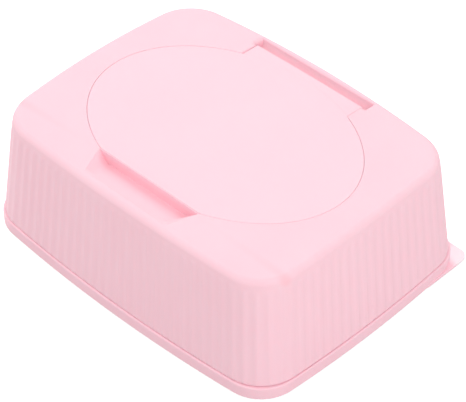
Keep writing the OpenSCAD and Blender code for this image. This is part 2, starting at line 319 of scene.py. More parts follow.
def bake(piece: bpy.types.Object) -> bpy.types.Object:
    """Turns a piece's modifiers into its plain mesh.

    Args:
        piece: the piece.

    Returns:
        The same object, without modifiers.
    """
    graph = bpy.context.evaluated_depsgraph_get()
    graph.update()
    mesh = bpy.data.meshes.new_from_object(piece.evaluated_get(graph))
    piece.modifiers.clear()
    piece.data = mesh
    return piece


def smooth(piece: bpy.types.Object, sharpest: float = 32) -> bpy.types.Object:
    """Shades a piece smooth up to an angle, led by its large faces.

    Args:
        piece: the piece, with a plain mesh.
        sharpest: angle in degrees past which an edge stays crisp.

    Returns:
        The piece.
    """
    shape = bmesh.new()
    shape.from_mesh(piece.data)
    bmesh.ops.remove_doubles(shape, verts=shape.verts, dist=WELD * MM)
    bmesh.ops.dissolve_degenerate(shape, edges=shape.edges, dist=WELD * MM)
    shape.to_mesh(piece.data)
    shape.free()
    piece.data.shade_smooth()
    piece.data.set_sharp_from_angle(angle=math.radians(sharpest))
    weighted = piece.modifiers.new("even_shading", "WEIGHTED_NORMAL")
    weighted.keep_sharp = True
    weighted.weight = FACE_PULL
    return bake(piece)


# ---- Nodes and finishes ----


def add(tree: bpy.types.NodeTree, kind: str, inputs: dict[str | int, Any] | None = None,
        **settings: Any) -> bpy.types.Node:
    """Adds a node to a tree.

    Args:
        tree: the tree.
        kind: type name of the node.
        inputs: for each input its value, or the output or node that is linked to it.
        settings: properties of the node.

    Returns:
        The node.
    """
    node = tree.nodes.new(kind)
    for name, value in settings.items():
        setattr(node, name, value)
    for key, value in (inputs or {}).items():
        if isinstance(value, bpy.types.Node):
            value = next(output for output in value.outputs if output.enabled)
        if isinstance(value, bpy.types.NodeSocket):
            tree.links.new(value, node.inputs[key])
        else:
            node.inputs[key].default_value = value
    return node


def new_tree(name: str, sizes: Sequence[str]) -> bpy.types.NodeTree:
    """Starts a geometry tree with named inputs for its shape, its sizes and its finish.

    Args:
        name: name of the tree.
        sizes: names of its number inputs.

    Returns:
        The tree, with its interface and no nodes.
    """
    tree = bpy.data.node_groups.new(name, "GeometryNodeTree")
    face = tree.interface
    face.new_socket("Geometry", in_out="INPUT", socket_type="NodeSocketGeometry")
    for size in sizes:
        face.new_socket(size, in_out="INPUT", socket_type="NodeSocketFloat")
    face.new_socket("Finish", in_out="INPUT", socket_type="NodeSocketMaterial")
    face.new_socket("Geometry", in_out="OUTPUT", socket_type="NodeSocketGeometry")
    return tree


def end_tree(tree: bpy.types.NodeTree, shape: bpy.types.Node,
             finish: bpy.types.NodeSocket) -> bpy.types.NodeTree:
    """Ends a geometry tree in plain, dressed geometry.

    Args:
        tree: the tree.
        shape: node that gives the finished shape.
        finish: the tree's input for the material.

    Returns:
        The tree.
    """
    plain = add(tree, "GeometryNodeRealizeInstances", {"Geometry": shape})
    dressed = add(tree, "GeometryNodeSetMaterial", {"Geometry": plain, "Material": finish})
    add(tree, "NodeGroupOutput", {"Geometry": dressed})
    return tree


def run_tree(piece: bpy.types.Object, tree: bpy.types.NodeTree,
             values: dict[str, Any]) -> bpy.types.Object:
    """Runs a geometry tree on a piece and keeps the result as its plain mesh.

    Args:
        piece: the piece.
        tree: the tree.
        values: value of each of the tree's named inputs.

    Returns:
        The piece, without modifiers.
    """
    modifier = piece.modifiers.new(tree.name, "NODES")
    modifier.node_group = tree
    for socket in tree.interface.items_tree:
        if socket.in_out == "INPUT" and socket.name in values:
            modifier[socket.identifier] = values[socket.name]
    return bake(piece)


def linear(colour: str) -> tuple[float, float, float, float]:
    """Turns an sRGB colour to a linear one.

    Args:
        colour: hex value such as #ffcc00.

    Returns:
        Red, green and blue as linear values, and full alpha.
    """
    parts = [int(colour[i:i + 2], 16) / 255 for i in (1, 3, 5)]
    plain = [c / 12.92 if c <= 0.04045 else ((c + 0.055) / 1.055) ** 2.4 for c in parts]
    return (plain[0], plain[1], plain[2], 1.0)


WHITE = linear("#ffffff")


@dataclass(frozen=True)
class PaintedShading:
    """Colour painted round one place as light and shade, full at `near` mm from it and gone at `far`
    mm.

    The squeeze scales the distance along each axis, so that 0 draws the place out into a line.
    """

    at: Point
    squeeze: Point
    near: float
    far: float
    colour: str

    def over(self, tree: bpy.types.NodeTree, place: bpy.types.NodeSocket,
             colour: bpy.types.Node) -> bpy.types.Node:
        """Lays the painted light and shade over a colour.

        Args:
            tree: the material's tree.
            place: Object coordinates.
            colour: node that gives the colour elsewhere.

        Returns:
            The node that gives the colour everywhere.
        """
        middle = [value * MM for value in self.at]
        away = add(tree, "ShaderNodeVectorMath", {0: place, 1: middle}, operation="SUBTRACT")
        squeezed = add(tree, "ShaderNodeVectorMath", {0: away, 1: self.squeeze}, operation="MULTIPLY")
        distance = add(tree, "ShaderNodeVectorMath", {0: squeezed}, operation="LENGTH")
        share = add(tree, "ShaderNodeMapRange", {
            "Value": distance, "From Min": self.far * MM, "From Max": self.near * MM,
        }, interpolation_type="SMOOTHSTEP")
        return add(tree, "ShaderNodeMix", {
            "Factor": share, "A": colour, "B": linear(self.colour),
        }, data_type="RGBA")


@dataclass(frozen=True)
class MouldedFinish:
    """Injection-moulded plastic or rubber with an even, fine-grained skin."""

    name: str
    colour: str
    deep_colour: str
    scatter: tuple[float, float, float]
    scatter_mm: float
    scatter_share: float
    ior: float
    gloss: float
    roughness: float
    roughness_spread: float
    grain_mm: float
    grain_height_mm: float
    cloud_mm: float
    sink_mm: float
    painted_shading: tuple[PaintedShading, ...] = ()

    def material(self) -> bpy.types.Material:
        """Builds the finish.

        Returns:
            A material whose patterns lie on Object coordinates.
        """
        material = bpy.data.materials.new(self.name)
        material.use_nodes = True
        tree = material.node_tree
        tree.nodes.clear()
        place = add(tree, "ShaderNodeTexCoord").outputs["Object"]
        cloud = add(tree, "ShaderNodeTexNoise", {
            "Vector": place, "Scale": 1 / (self.cloud_mm * MM), "Detail": 2.0,
        })
        grain = add(tree, "ShaderNodeTexNoise", {
            "Vector": place, "Scale": 1 / (self.grain_mm * MM), "Detail": 2.0,
        })
        colour = add(tree, "ShaderNodeMix", {
            "Factor": cloud, "A": linear(self.colour), "B": linear(self.deep_colour),
        }, data_type="RGBA")
        # Painted light and shade, laid over the resin's own colour round given places
        for painted_mark in self.painted_shading:
            colour = painted_mark.over(tree, place, colour)
        roughness = add(tree, "ShaderNodeMapRange", {
            "Value": grain,
            "To Min": self.roughness - self.roughness_spread,
            "To Max": self.roughness + self.roughness_spread,
        })
        sink = add(tree, "ShaderNodeBump", {"Height": cloud, "Distance": self.sink_mm * MM})
        skin = add(tree, "ShaderNodeBump", {
            "Height": grain, "Distance": self.grain_height_mm * MM, "Normal": sink,
        })
        shader = add(tree, "ShaderNodeBsdfPrincipled", {
            "Base Color": colour, "Roughness": roughness, "Normal": skin,
            "IOR": self.ior, "Specular IOR Level": self.gloss,
            "Subsurface Weight": self.scatter_share, "Subsurface Radius": self.scatter,
            "Subsurface Scale": self.scatter_mm * MM,
        })
        add(tree, "ShaderNodeOutputMaterial", {"Surface": shader})
        return material


# Polypropylene, injection moulded in a spark-eroded tool: satin and slightly translucent. The
# tool's texture is 0.2 mm in reality, and is drawn at 0.9 mm so that it shows.
# A deeper pink is painted shade at the sill behind the scoop and in the hinge slot.
PINK_SHELL = MouldedFinish(
    name="polypropylene_satin_moulded_pink", colour="#fcd2dc", deep_colour="#fbccd7",
    scatter=(1.0, 0.42, 0.5), scatter_mm=1.0, scatter_share=0.15, ior=1.49,
    gloss=0.2, roughness=0.58, roughness_spread=0.05, grain_mm=0.9, grain_height_mm=0.012,
    cloud_mm=38.0, sink_mm=0.05,
    painted_shading=(
        # Painted shade: deeper pink on the sill behind the scoop, under the lid's front edge
        PaintedShading(at=(0.0, -50.2, 64.4), squeeze=(0.0, 1.0, 1.0), near=0.5, far=4.2, colour="#fcc6d0"),
        # Painted shade: deeper pink down in the hinge slot
        PaintedShading(at=(0.0, 62.6, 60.6), squeeze=(0.0, 1.0, 1.0), near=2.0, far=6.0, colour="#fdc6d0"),
    ),
)
# The same resin again, with painted light: a paler pink round the pull tab, which lies in the casing's
# shade, makes it look brightly lit.
PINK_COVER = replace(
    PINK_SHELL, name="polypropylene_satin_moulded_pink_painted_light_tab",
    # Painted light: paler pink round the pull tab
    painted_shading=(PaintedShading(at=(95.0, 72.0, 2.6), squeeze=(1.0, 1.0, 4.0), near=8.0, far=13.0, colour="#fdeef4"),),
)
# The same resin, polished a little finer on the lid, where the tool is smoother. Its front
# edge, seen end on above the scoop, carries a deeper pink as painted shade.
PINK_LID = MouldedFinish(
    name="polypropylene_fine_satin_moulded_pink", colour="#fcd3dd", deep_colour="#fbced9",
    scatter=(1.0, 0.42, 0.5), scatter_mm=1.0, scatter_share=0.15, ior=1.49,
    gloss=0.2, roughness=0.54, roughness_spread=0.04, grain_mm=0.8, grain_height_mm=0.009,
    cloud_mm=46.0, sink_mm=0.05,
    # Painted shade: deeper pink along the lid's front edge above the scoop
    painted_shading=(PaintedShading(at=(0.0, -49.4, 66.9), squeeze=(0.0, 1.0, 1.0), near=1.1, far=1.9, colour="#fca9b6"),),
)
# Thermoplastic elastomer, moulded soft: milky, almost without gloss.
MILKY_ELASTOMER = MouldedFinish(
    name="elastomer_matte_moulded_milk_white", colour="#f3eeee", deep_colour="#ece5e6",
    scatter=(1.0, 0.8, 0.75), scatter_mm=2.4, scatter_share=0.35, ior=1.5,
    gloss=0.4, roughness=0.62, roughness_spread=0.06, grain_mm=0.7, grain_height_mm=0.015,
    cloud_mm=16.0, sink_mm=0.03,
)
# Silicone, compression moulded: translucent, dry and slightly dusty.
CLEAR_SILICONE = MouldedFinish(
    name="silicone_matte_moulded_translucent", colour="#ebe7e7", deep_colour="#e2dcdd",
    scatter=(1.0, 0.85, 0.8), scatter_mm=3.0, scatter_share=0.4, ior=1.43,
    gloss=0.5, roughness=0.55, roughness_spread=0.08, grain_mm=0.8, grain_height_mm=0.02,
    cloud_mm=9.0, sink_mm=0.03,
)


def dress(piece: bpy.types.Object, finish: bpy.types.Material) -> bpy.types.Object:
    """Gives the whole piece one finish and smooth shading.

    Args:
        piece: the piece, with a plain mesh.
        finish: the material.

    Returns:
        The piece.
    """
    piece.data.materials.clear()
    piece.data.materials.append(finish)
    return smooth(piece)


def hand_in(piece: bpy.types.Object, body: Body, nodes: Sequence[str]) -> None:
    """Fixes a finished piece to its body and reports it.

    Args:
        piece: the piece, with a plain mesh and its material.
        body: the body that carries it.
        nodes: the frame's nodes that it stands for.
    """
    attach(piece, body.value)
    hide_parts(*nodes)
    log.info("%s: %d faces, rides on %s, stands for %s",
             piece.name, len(piece.data.polygons), body.value, ", ".join(nodes))


# ---- The box's own plan ----


@dataclass(frozen=True)
class BoxPlan:
    """Bowed rectangle with round corners under a shallow dome, with walls that slope outwards."""

    length: float = 179.8
    width: float = 137.4
    height: float = 70.0
    crown: float = 2.5
    draft: float = 5.2
    corner: float = 22.0
    long_bow: float = 4.9
    short_bow: float = 3.4
    wall: float = 2.2

    @property
    def slope(self) -> float:
        """Growth of the plan for each millimetre down."""
        return math.tan(math.radians(self.draft))

    @property
    def long_r(self) -> float:
        """Radius of the arc that a long side lies on."""
        return (self.length / 2) ** 2 / (2 * self.long_bow) + self.long_bow / 2

    @property
    def short_r(self) -> float:
        """Radius of the arc that a short side lies on."""
        return (self.width / 2) ** 2 / (2 * self.short_bow) + self.short_bow / 2

    def grow_at(self, height: float) -> float:
        """Growth of the plan at a height."""
        return (self.height - height) * self.slope

    def dome(self, x: float, y: float) -> float:
        """Height of the domed top over a point of the plan."""
        return self.height - self.crown * ((2 * x / self.length) ** 2 + (2 * y / self.width) ** 2)

    def on_dome(self, plan: Plan, drop: float = 0) -> Ring:
        """The plan's points laid on the dome, or a given drop below it."""
        return [(x, y, self.dome(x, y) - drop) for x, y in plan]

    def quarter(self, grow: float, corner: float, shares: Sequence[float]) -> Plan:
        """Points along the quarter from the middle of the right side to the middle of the back.

        Args:
            grow: growth of the bowed sides, in mm.
            corner: radius of the corner, in mm.
            shares: how far along the quarter each point lies, from 0 to 1.

        Returns:
            One point for each share.
        """
        long_c = Vector((0, self.width / 2 - self.long_r))
        short_c = Vector((self.length / 2 - self.short_r, 0))
        reach = self.long_r + grow - corner
        other = self.short_r + grow - corner
        span = short_c - long_c
        along = (span.length_squared + reach ** 2 - other ** 2) / (2 * span.length)
        unit = span.normalized()
        centre = long_c + along * unit + math.sqrt(reach ** 2 - along ** 2) * Vector((unit.y, -unit.x))
        first = math.atan2(*(centre - short_c).yx)
        second = math.atan2(*(centre - long_c).yx)
        arcs = [
            (short_c, self.short_r + grow, 0.0, first),
            (centre, corner, first, second),
            (long_c, self.long_r + grow, second, math.pi / 2),
        ]
        total = sum(radius * (end - start) for _, radius, start, end in arcs)
        plan: Plan = []
        for share in shares:
            rest = share * total
            for middle, radius, start, end in arcs:
                turn = start + rest / radius
                if turn <= end or end == math.pi / 2:
                    x, y = middle.x + radius * math.cos(turn), middle.y + radius * math.sin(turn)
                    plan.append((x, y))
                    break
                rest -= radius * (end - start)
        return plan

    def outline(self, grow: float, corner: float, steps: int = 72) -> Plan:
        """The whole plan, with equal steps along each quarter.

        Args:
            grow: growth of the bowed sides, in mm.
            corner: radius of the corners, in mm.
            steps: number of steps along a quarter.

        Returns:
            The plan, counterclockwise.
        """
        q = self.quarter(grow, corner, [i / steps for i in range(steps + 1)])
        left = [(-x, y) for x, y in q[-2::-1]]
        back = [(-x, -y) for x, y in q[1:]]
        right = [(x, -y) for x, y in q[-2:0:-1]]
        return q + left + back + right


@dataclass(frozen=True)
class Levels:
    """Heights that the pieces share, from the table up."""

    foot_stand: float = 0.6
    band_h: float = 6.9
    line_gap: float = 0.5
    floor_t: float = 2.0
    seal_h: float = 1.4
    recess_depth: float = 8.6

    @property
    def band_top(self) -> float:
        """Top of the base cover's band."""
        return self.foot_stand + self.band_h

    @property
    def wall_foot(self) -> float:
        """Lower end of the casing's wall."""
        return self.band_top + self.line_gap

    @property
    def floor(self) -> float:
        """Top of the base cover's floor."""
        return self.foot_stand + self.floor_t

    @property
    def lip(self) -> float:
        """Lower end of the casing's lip, on the base seal."""
        return self.floor + self.seal_h


@dataclass(frozen=True)
class LidPlan:
    """Oval lid, cut straight at the front, with its hinge and the room that it lies in.

    The rim swells out into the gap round the lid, so that only a hairline shows from above.
    """

    length: float = 146.8
    width: float = 107.8
    front: float = 49.0
    thickness: float = 2.0
    gap: float = 0.5
    swell: float = 0.42
    edge_r: float = 0.5
    edge_in: float = 0.8
    tab_w: float = 68.4
    tab_end: float = 59.0
    tab_drop: float = 0.4
    slot_l: float = 72.2
    slot_w: float = 5.7
    hinge_drop: float = 3.9
    barrel_r: float = 2.4
    pin_r: float = 1.5
    pin_l: float = 2.6
    pin_fit: float = 0.06
    ear_t: float = 4.2
    pin_play: float = 0.2
    catch_w: float = 16.0
    catch_t: float = 1.4
    catch_fit: float = 0.15
    sill_set: float = 2.0
    front_spans: int = 24

    @property
    def tab_half(self) -> float:
        """Half of the hinge tab's width."""
        return self.tab_w / 2

    @property
    def hinge_y(self) -> float:
        """Distance of the hinge axis from the middle of the box."""
        return self.tab_end - self.barrel_r

    @property
    def sill_y(self) -> float:
        """Rear face of the sill under the lid's front edge."""
        return self.sill_set + self.catch_t - self.front

    @property
    def recess_front(self) -> float:
        """Straight front wall of the room that the lid lies in."""
        return -self.front - self.gap

    @property
    def sill_face(self) -> float:
        """Front face of the sill, where the scoop ends."""
        return self.sill_y - self.catch_t

    @property
    def sill_half(self) -> float:
        """Half of the sill's length, far enough to run into the recess wall."""
        a, b = self.length / 2 + self.gap, self.width / 2 + self.gap
        return a * math.sqrt(1 - (self.sill_y / b) ** 2) + BITE

    def oval(self, grow: float, front: float, steps: int = 110) -> Plan:
        """The oval, grown, with its straight front at a given distance.

        Args:
            grow: growth of the oval, in mm.
            front: distance of the straight front from the middle, in mm.
            steps: number of steps along each side.

        Returns:
            The plan, counterclockwise.
        """
        a, b = self.length / 2 + grow, self.width / 2 + grow
        first = -math.asin(front / b)
        turns = [first + (math.pi / 2 - first) * i / steps for i in range(steps + 1)]
        right = [(a * math.cos(t), b * math.sin(t)) for t in turns]
        left = [(-x, y) for x, y in right[-2::-1]]
        cut, spans = right[0][0], self.front_spans
        front_edge = [(cut * (2 * i / spans - 1), -front) for i in range(1, spans)]
        return right + left + front_edge

    def drawn_in(self, distance: float) -> Plan:
        """The lid's plan at its widest, brought in by a distance."""
        return self.oval(self.swell - distance, self.front - distance)


# A cap over the dome has a ring at each of these shares of its outline, down to its middle
DOME_SHARES = (0.96, 0.9, 0.8, 0.7, 0.6, 0.5, 0.4, 0.3, 0.2, 0.1)
BOX = BoxPlan()
LEVELS = Levels()
LID = LidPlan()
FOOT_GROW = BOX.grow_at(LEVELS.wall_foot)
RECESS_Z = BOX.height - LEVELS.recess_depth
HINGE_Z = BOX.dome(0, LID.hinge_y) - LID.hinge_drop


def dome_cap(plan: Plan, drop: float = 0) -> list[Ring]:
    """Rings that close a plan over the dome, ending in its middle point."""
    rings = [BOX.on_dome([(x * s, y * s) for x, y in plan], drop) for s in DOME_SHARES]
    return rings + [BOX.on_dome([(0, 0)], drop)]


def hinge_bar(name: str, half: float, radius: float, edge_r: float) -> bpy.types.Object:
    """Round bar along the hinge axis with rounded ends.

    Args:
        name: name of the object.
        half: half of its length, in mm.
        radius: its radius, in mm.
        edge_r: rounding of its end edges, in mm.

    Returns:
        The bar.
    """
    ends = [(half - drop, radius - inset) for drop, inset in fillet(edge_r, 4)]
    stations = [(-x, r) for x, r in ends[::-1]] + ends
    rings = [[(x, LID.hinge_y + y, HINGE_Z + z) for y, z in circle(r)] for x, r in stations]
    return loft(name, rings)


# ---- Casing ----


@dataclass
class Ribs:
    """Upright ribs round the casing's wall, raised by a node tree and softer than the solids' ribs."""

    per_quarter: int = 26
    points_per_rib: int = 12
    rise: float = 0.4
    width_share: float = 0.86
    top_clear: float = 0.8
    top_fade: float = 3.0
    foot_fade: float = 0.5

    def tree(self) -> bpy.types.NodeTree:
        """Builds the tree that raises the ribs out of a smooth wall.

        Returns:
            A tree with named inputs for the count, width, rise and fades.
        """
        names = ("Ribs per Quarter", "Half Width", "Rise", "Top Clear", "Top Fade", "Foot Fade")
        tree = new_tree("upright_ribs", names)
        sizes = add(tree, "NodeGroupInput").outputs
        read = "GeometryNodeInputNamedAttribute"
        share = add(tree, read, {"Name": "share"}, data_type="FLOAT")
        below_edge = add(tree, read, {"Name": "below_edge"}, data_type="FLOAT")
        above_foot = add(tree, read, {"Name": "above_foot"}, data_type="FLOAT")
        outward = add(tree, read, {"Name": "outward"}, data_type="FLOAT_VECTOR")
        # Distance from the nearest rib's middle, in rib pitches
        turns = add(tree, "ShaderNodeMath", {
            0: share, 1: sizes["Ribs per Quarter"], 2: 0.5,
        }, operation="MULTIPLY_ADD")
        off_middle = add(tree, "ShaderNodeMath", {0: turns, 1: 0.5}, operation="PINGPONG")
        swell = add(tree, "ShaderNodeMapRange", {
            "Value": off_middle, "From Min": sizes["Half Width"], "From Max": 0.0,
        }, interpolation_type="SMOOTHSTEP")
        top_end = add(tree, "ShaderNodeMath", {
            0: sizes["Top Clear"], 1: sizes["Top Fade"],
        }, operation="ADD")
        top = add(tree, "ShaderNodeMapRange", {
            "Value": below_edge, "From Min": sizes["Top Clear"], "From Max": top_end,
        }, interpolation_type="SMOOTHSTEP")
        foot = add(tree, "ShaderNodeMapRange", {
            "Value": above_foot, "From Min": 0.0, "From Max": sizes["Foot Fade"],
        }, interpolation_type="SMOOTHSTEP")
        ends = add(tree, "ShaderNodeMath", {0: top, 1: foot}, operation="MULTIPLY")
        shape = add(tree, "ShaderNodeMath", {0: swell, 1: ends}, operation="MULTIPLY")
        rise = add(tree, "ShaderNodeMath", {0: shape, 1: sizes["Rise"]}, operation="MULTIPLY")
        offset = add(tree, "ShaderNodeVectorMath", {
            "Vector": outward, "Scale": rise,
        }, operation="SCALE")
        raised = add(tree, "GeometryNodeSetPosition", {
            "Geometry": sizes["Geometry"], "Offset": offset,
        })
        return end_tree(tree, raised, sizes["Finish"])

    def raise_on(self, skin: bpy.types.Object, finish: bpy.types.Material) -> bpy.types.Object:
        """Raises the ribs on a skin that carries their attributes.

        Args:
            skin: the smooth skin.
            finish: the material that the tree sets.

        Returns:
            The ribbed skin, with a plain mesh.
        """
        return run_tree(skin, self.tree(), {
            "Ribs per Quarter": float(self.per_quarter), "Half Width": self.width_share / 2,
            "Rise": self.rise * MM, "Top Clear": self.top_clear * MM, "Top Fade": self.top_fade * MM,
            "Foot Fade": self.foot_fade * MM, "Finish": finish,
        })


@dataclass
class Casing:
    """Ribbed shell with the lid's recess, the finger scoop and the hinge slot.

    Its wall reaches a little further down than the solid's, into the shadow line over the cover,
    and its scoop and slot end in soft hollows.
    """

    edge_r: float = 3.0
    foot_r: float = 0.8
    foot_reach: float = 0.4
    rim_r: float = 0.3
    floor_r: float = 0.8
    lip_inset: float = 1.0
    scoop_back_w: float = 65.0
    scoop_front_w: float = 53.0
    scoop_side_in: float = 4.6
    scoop_front: float = 64.2
    scoop_lip: float = 0.8
    scoop_corner_r: float = 3.0
    scoop_fillet: float = 2.4
    scoop_fillet_share: float = 0.36
    scoop_heel_r: float = 0.1
    scoop_rim_r: float = 0.24
    sill_r: float = 0.3
    sill_cove_r: float = 2.8
    slot_rim_r: float = 2.6
    sweep_fit: float = 0.4
    trough_r: float = 3.3
    lip_r: float = 0.3
    outlet_l: float = 84.0
    outlet_w: float = 34.0
    ribs: Ribs = field(default_factory=Ribs)
    wall_shares: tuple[float, ...] = (0.0, 0.004, 0.01, 0.05, 0.2, 0.4, 0.6, 0.8, 0.88, 0.91, 0.925,
                                      0.94, 0.955, 0.97, 0.985, 1.0)

    def build(self, finish: bpy.types.Material) -> bpy.types.Object:
        """Builds and dresses the casing.

        Args:
            finish: its material.

        Returns:
            The finished shell.
        """
        shell = self.ribs.raise_on(self.skin(), finish)
        room = combine(self.inner_room(), self.rooms(BOX.wall), Cut.TAKE)
        cutters = [room, *self.rooms(0), self.bores(), self.outlet_hole()]
        combine(shell, cutters, Cut.TAKE)
        sill = combine(self.sill(), [self.scoop(0, LID.sill_face)], Cut.TAKE)
        combine(shell, [self.lip(), sill, self.cove(), self.trough()], Cut.JOIN)
        shell.name = "ribbed_casing"
        return dress(shell, finish)

    def skin(self) -> bpy.types.Object:
        """Solid skin of the box, with the attributes that the ribs follow.

        Returns:
            The skin as a solid, without ribs.
        """
        steps = self.ribs.per_quarter * self.ribs.points_per_rib
        foot = BOX.outline(FOOT_GROW, BOX.corner, steps)
        head = BOX.on_dome(BOX.outline(self.edge_r * BOX.slope, BOX.corner, steps), self.edge_r)
        low_z = LEVELS.wall_foot - self.foot_reach
        foot_z = low_z + self.foot_r
        underside = [
            level(BOX.outline(FOOT_GROW - inset, BOX.corner - inset, steps), low_z + rise)
            for rise, inset in fillet(self.foot_r, 4)[:0:-1]
        ]
        wall = [
            [(a[0] + t * (b[0] - a[0]), a[1] + t * (b[1] - a[1]), foot_z + t * (b[2] - foot_z))
             for a, b in zip(foot, head)]
            for t in self.wall_shares
        ]
        edge = []
        for drop, inset in fillet(self.edge_r, 8)[1:]:
            plan = BOX.outline(drop * BOX.slope - inset, BOX.corner - inset, steps)
            edge.append(BOX.on_dome(plan, drop))
        top = [(x, y) for x, y, _ in edge[-1]]
        rings = [*underside, *wall, *edge, *dome_cap(top)]
        skin = loft("ribbed_casing", rings)
        first = len(underside)
        self.mark_wall(skin, rings, range(first, first + len(wall)), head, steps)
        return skin

    def mark_wall(self, skin: bpy.types.Object, rings: list[Ring], wall: range, head: Ring,
                  steps: int) -> None:
        """Writes where each point of the wall lies, for the ribs.

        Args:
            skin: the skin that the rings made.
            rings: its rings.
            wall: numbers of the rings that lie on the wall.
            head: the wall's last ring.
            steps: number of points in a quarter.
        """
        share, below, above, outward = [], [], [], []
        wall_low = rings[wall.start][0][2]
        for k, ring in enumerate(rings):
            on_wall = k in wall
            for i, (x, y, z) in enumerate(ring):
                quarter, place = divmod(i, steps)
                share.append((place if quarter % 2 == 0 else steps - place) / steps)
                below.append((head[i][2] - z) * MM if on_wall else 0.0)
                above.append((z - wall_low) * MM if on_wall else 0.0)
                before, after = ring[i - 1], ring[(i + 1) % len(ring)]
                out = Vector((after[1] - before[1], before[0] - after[0], 0))
                outward.append(out.normalized() if out.length else Vector((0, 0, 1)))
        for name, values in (("share", share), ("below_edge", below), ("above_foot", above)):
            skin.data.attributes.new(name, "FLOAT", "POINT").data.foreach_set("value", values)
        flat = [c for v in outward for c in v]
        attribute = skin.data.attributes.new("outward", "FLOAT_VECTOR", "POINT")
        attribute.data.foreach_set("vector", flat)

    def inner_room(self) -> bpy.types.Object:
        """Room inside the walls and under the top.

        Returns:
            The cutter.
        """
        low = LEVELS.wall_foot - OVER
        foot = BOX.outline(BOX.grow_at(low) - BOX.wall, BOX.corner - BOX.wall)
        top = BOX.outline(BOX.wall * BOX.slope - BOX.wall, BOX.corner - BOX.wall)
        roof = [BOX.on_dome(top, BOX.wall), *dome_cap(top, BOX.wall)]
        return loft("inner_room", [level(foot, low), *roof])

    def rooms(self, grow: float) -> list[bpy.types.Object]:
        """All rooms that are open to the top, grown on all sides."""
        scoop = self.scoop(grow, LID.recess_front + MEET)
        return [self.recess(grow), scoop, self.tab_room(grow), *self.hinge_rooms(grow)]

    def recess(self, grow: float) -> bpy.types.Object:
        """Oval room that the lid lies in.

        Args:
            grow: growth on all sides; 0 gives the room itself, with its rims rounded.

        Returns:
            The cutter.
        """
        def plan(extra: float) -> Plan:
            """Plan of the room, grown."""
            return LID.oval(LID.gap + grow + extra, LID.front + grow + extra)

        floor = [level(plan(-inset), RECESS_Z - grow + rise) for inset, rise in fillet(self.floor_r)]
        return loft("recess", floor + self.flared(plan, self.rim_r))

    def flared(self, plan_at: Grown, rim_r: float) -> list[Ring]:
        """Rings that carry a cutter up through the dome with a rounded rim."""
        rim = [BOX.on_dome(plan_at(inset), drop) for drop, inset in fillet(rim_r)]
        return rim + [level(plan_at(rim_r), BOX.height + OVER)]

    def scoop(self, grow: float, back: float) -> bpy.types.Object:
        """Finger scoop, with a ramp for a floor and end walls that lean in.

        Args:
            grow: growth on all sides; 0 gives the scoop itself.
            back: where it ends at the lid's side; the ramp itself runs down to the sill.

        Returns:
            The cutter.
        """
        front_z = BOX.dome(0, -self.scoop_front) - self.scoop_lip - grow
        back_z = RECESS_Z - grow
        front = -self.scoop_front - 2 * grow

        def ramp(y: float) -> float:
            """Height of the floor."""
            return front_z + (back_z - front_z) * (y - front) / (LID.sill_face - front)

        def half_at(y: float) -> float:
            """Half of the scoop's width at its rim."""
            spread = (y + self.scoop_front) / (self.scoop_front - LID.front)
            return (self.scoop_front_w + (self.scoop_back_w - self.scoop_front_w) * spread) / 2

        def plan(share: float, extra: float) -> Plan:
            """Plan at one level of the end walls.

            Args:
                share: share of the way from the floor to the rim.
                extra: growth beyond the scoop's own, in mm.

            Returns:
                The plan, counterclockwise.
            """
            lean = self.scoop_side_in * (1 - share)
            front_half = half_at(-self.scoop_front) + grow - lean + extra
            back_half = half_at(back) + grow - lean + extra
            low = front - extra
            quad = [(-front_half, low), (front_half, low), (back_half, back), (-back_half, back)]
            toe, heel = self.scoop_corner_r, self.scoop_heel_r
            return rounded(quad, [toe, toe, heel, heel], 8)

        def ring(share: float, extra: float) -> Ring:
            """The plan's points at their own heights.

            Args:
                share: share of the way from the floor to the rim.
                extra: growth beyond the scoop's own, in mm.

            Returns:
                The points.
            """
            walls: Ring = []
            for x, y in plan(share, extra):
                walls.append((x, y, ramp(y) + share * (BOX.dome(x, y) - self.rim_r - ramp(y))))
            return walls

        base = [
            ring(self.scoop_fillet_share * rise / self.scoop_fillet, -inset)
            for inset, rise in fillet(self.scoop_fillet, 10)
        ]
        rim = [BOX.on_dome(plan(1, inset), drop) for drop, inset in fillet(self.scoop_rim_r)]
        return loft("scoop", [*base, *rim, level(plan(1, self.rim_r), BOX.height + OVER)])

    def hinge_rooms(self, grow: float) -> list[bpy.types.Object]:
        """Deep rooms that the barrel turns in and that the tab dips into.

        Args:
            grow: growth on all sides; 0 gives the rooms themselves.

        Returns:
            The two cutters, for the barrel and for the open slot.
        """
        sweep = math.hypot(LID.tab_end - LID.hinge_y, LID.hinge_drop)
        low = HINGE_Z - sweep - BITE - grow
        front = LID.hinge_y - LID.barrel_r - LID.gap - grow
        back = LID.tab_end + LID.slot_w + 2 * grow
        side = LID.ear_t if grow else 0
        spans = [
            (LID.tab_half + LID.gap + side, front, self.rim_r),
            (LID.slot_l / 2 + grow, LID.tab_end, self.slot_rim_r),
        ]
        rooms = []
        for half, start, rim_r in spans:
            def plan(extra: float, half: float = half, start: float = start) -> Plan:
                """Plan of the room, grown."""
                corners = rectangle(half + extra, start - extra, back + extra)
                return rounded(corners, self.rim_r + extra)

            rooms.append(loft("hinge_room", [level(plan(0), low)] + self.flared(plan, rim_r)))
        return rooms

    def tab_room(self, grow: float) -> bpy.types.Object:
        """Shallower room that the hinge tab lies in.

        Args:
            grow: growth on all sides; 0 gives the room itself.

        Returns:
            The cutter.
        """
        half = LID.tab_half + LID.gap + grow

        def plan(extra: float) -> Plan:
            """Plan of the room, grown."""
            corners = rectangle(half + extra, -extra, LID.tab_end + BITE + extra)
            return rounded(corners, self.rim_r + extra)

        return loft("tab_room", [level(plan(0), RECESS_Z - grow)] + self.flared(plan, self.rim_r))

    def bores(self) -> bpy.types.Object:
        """Blind bores that the hinge pins turn in."""
        half = LID.tab_half + LID.gap + LID.pin_l + LID.pin_play
        return hinge_bar("bores", half, LID.pin_r + LID.pin_fit, LID.pin_fit)

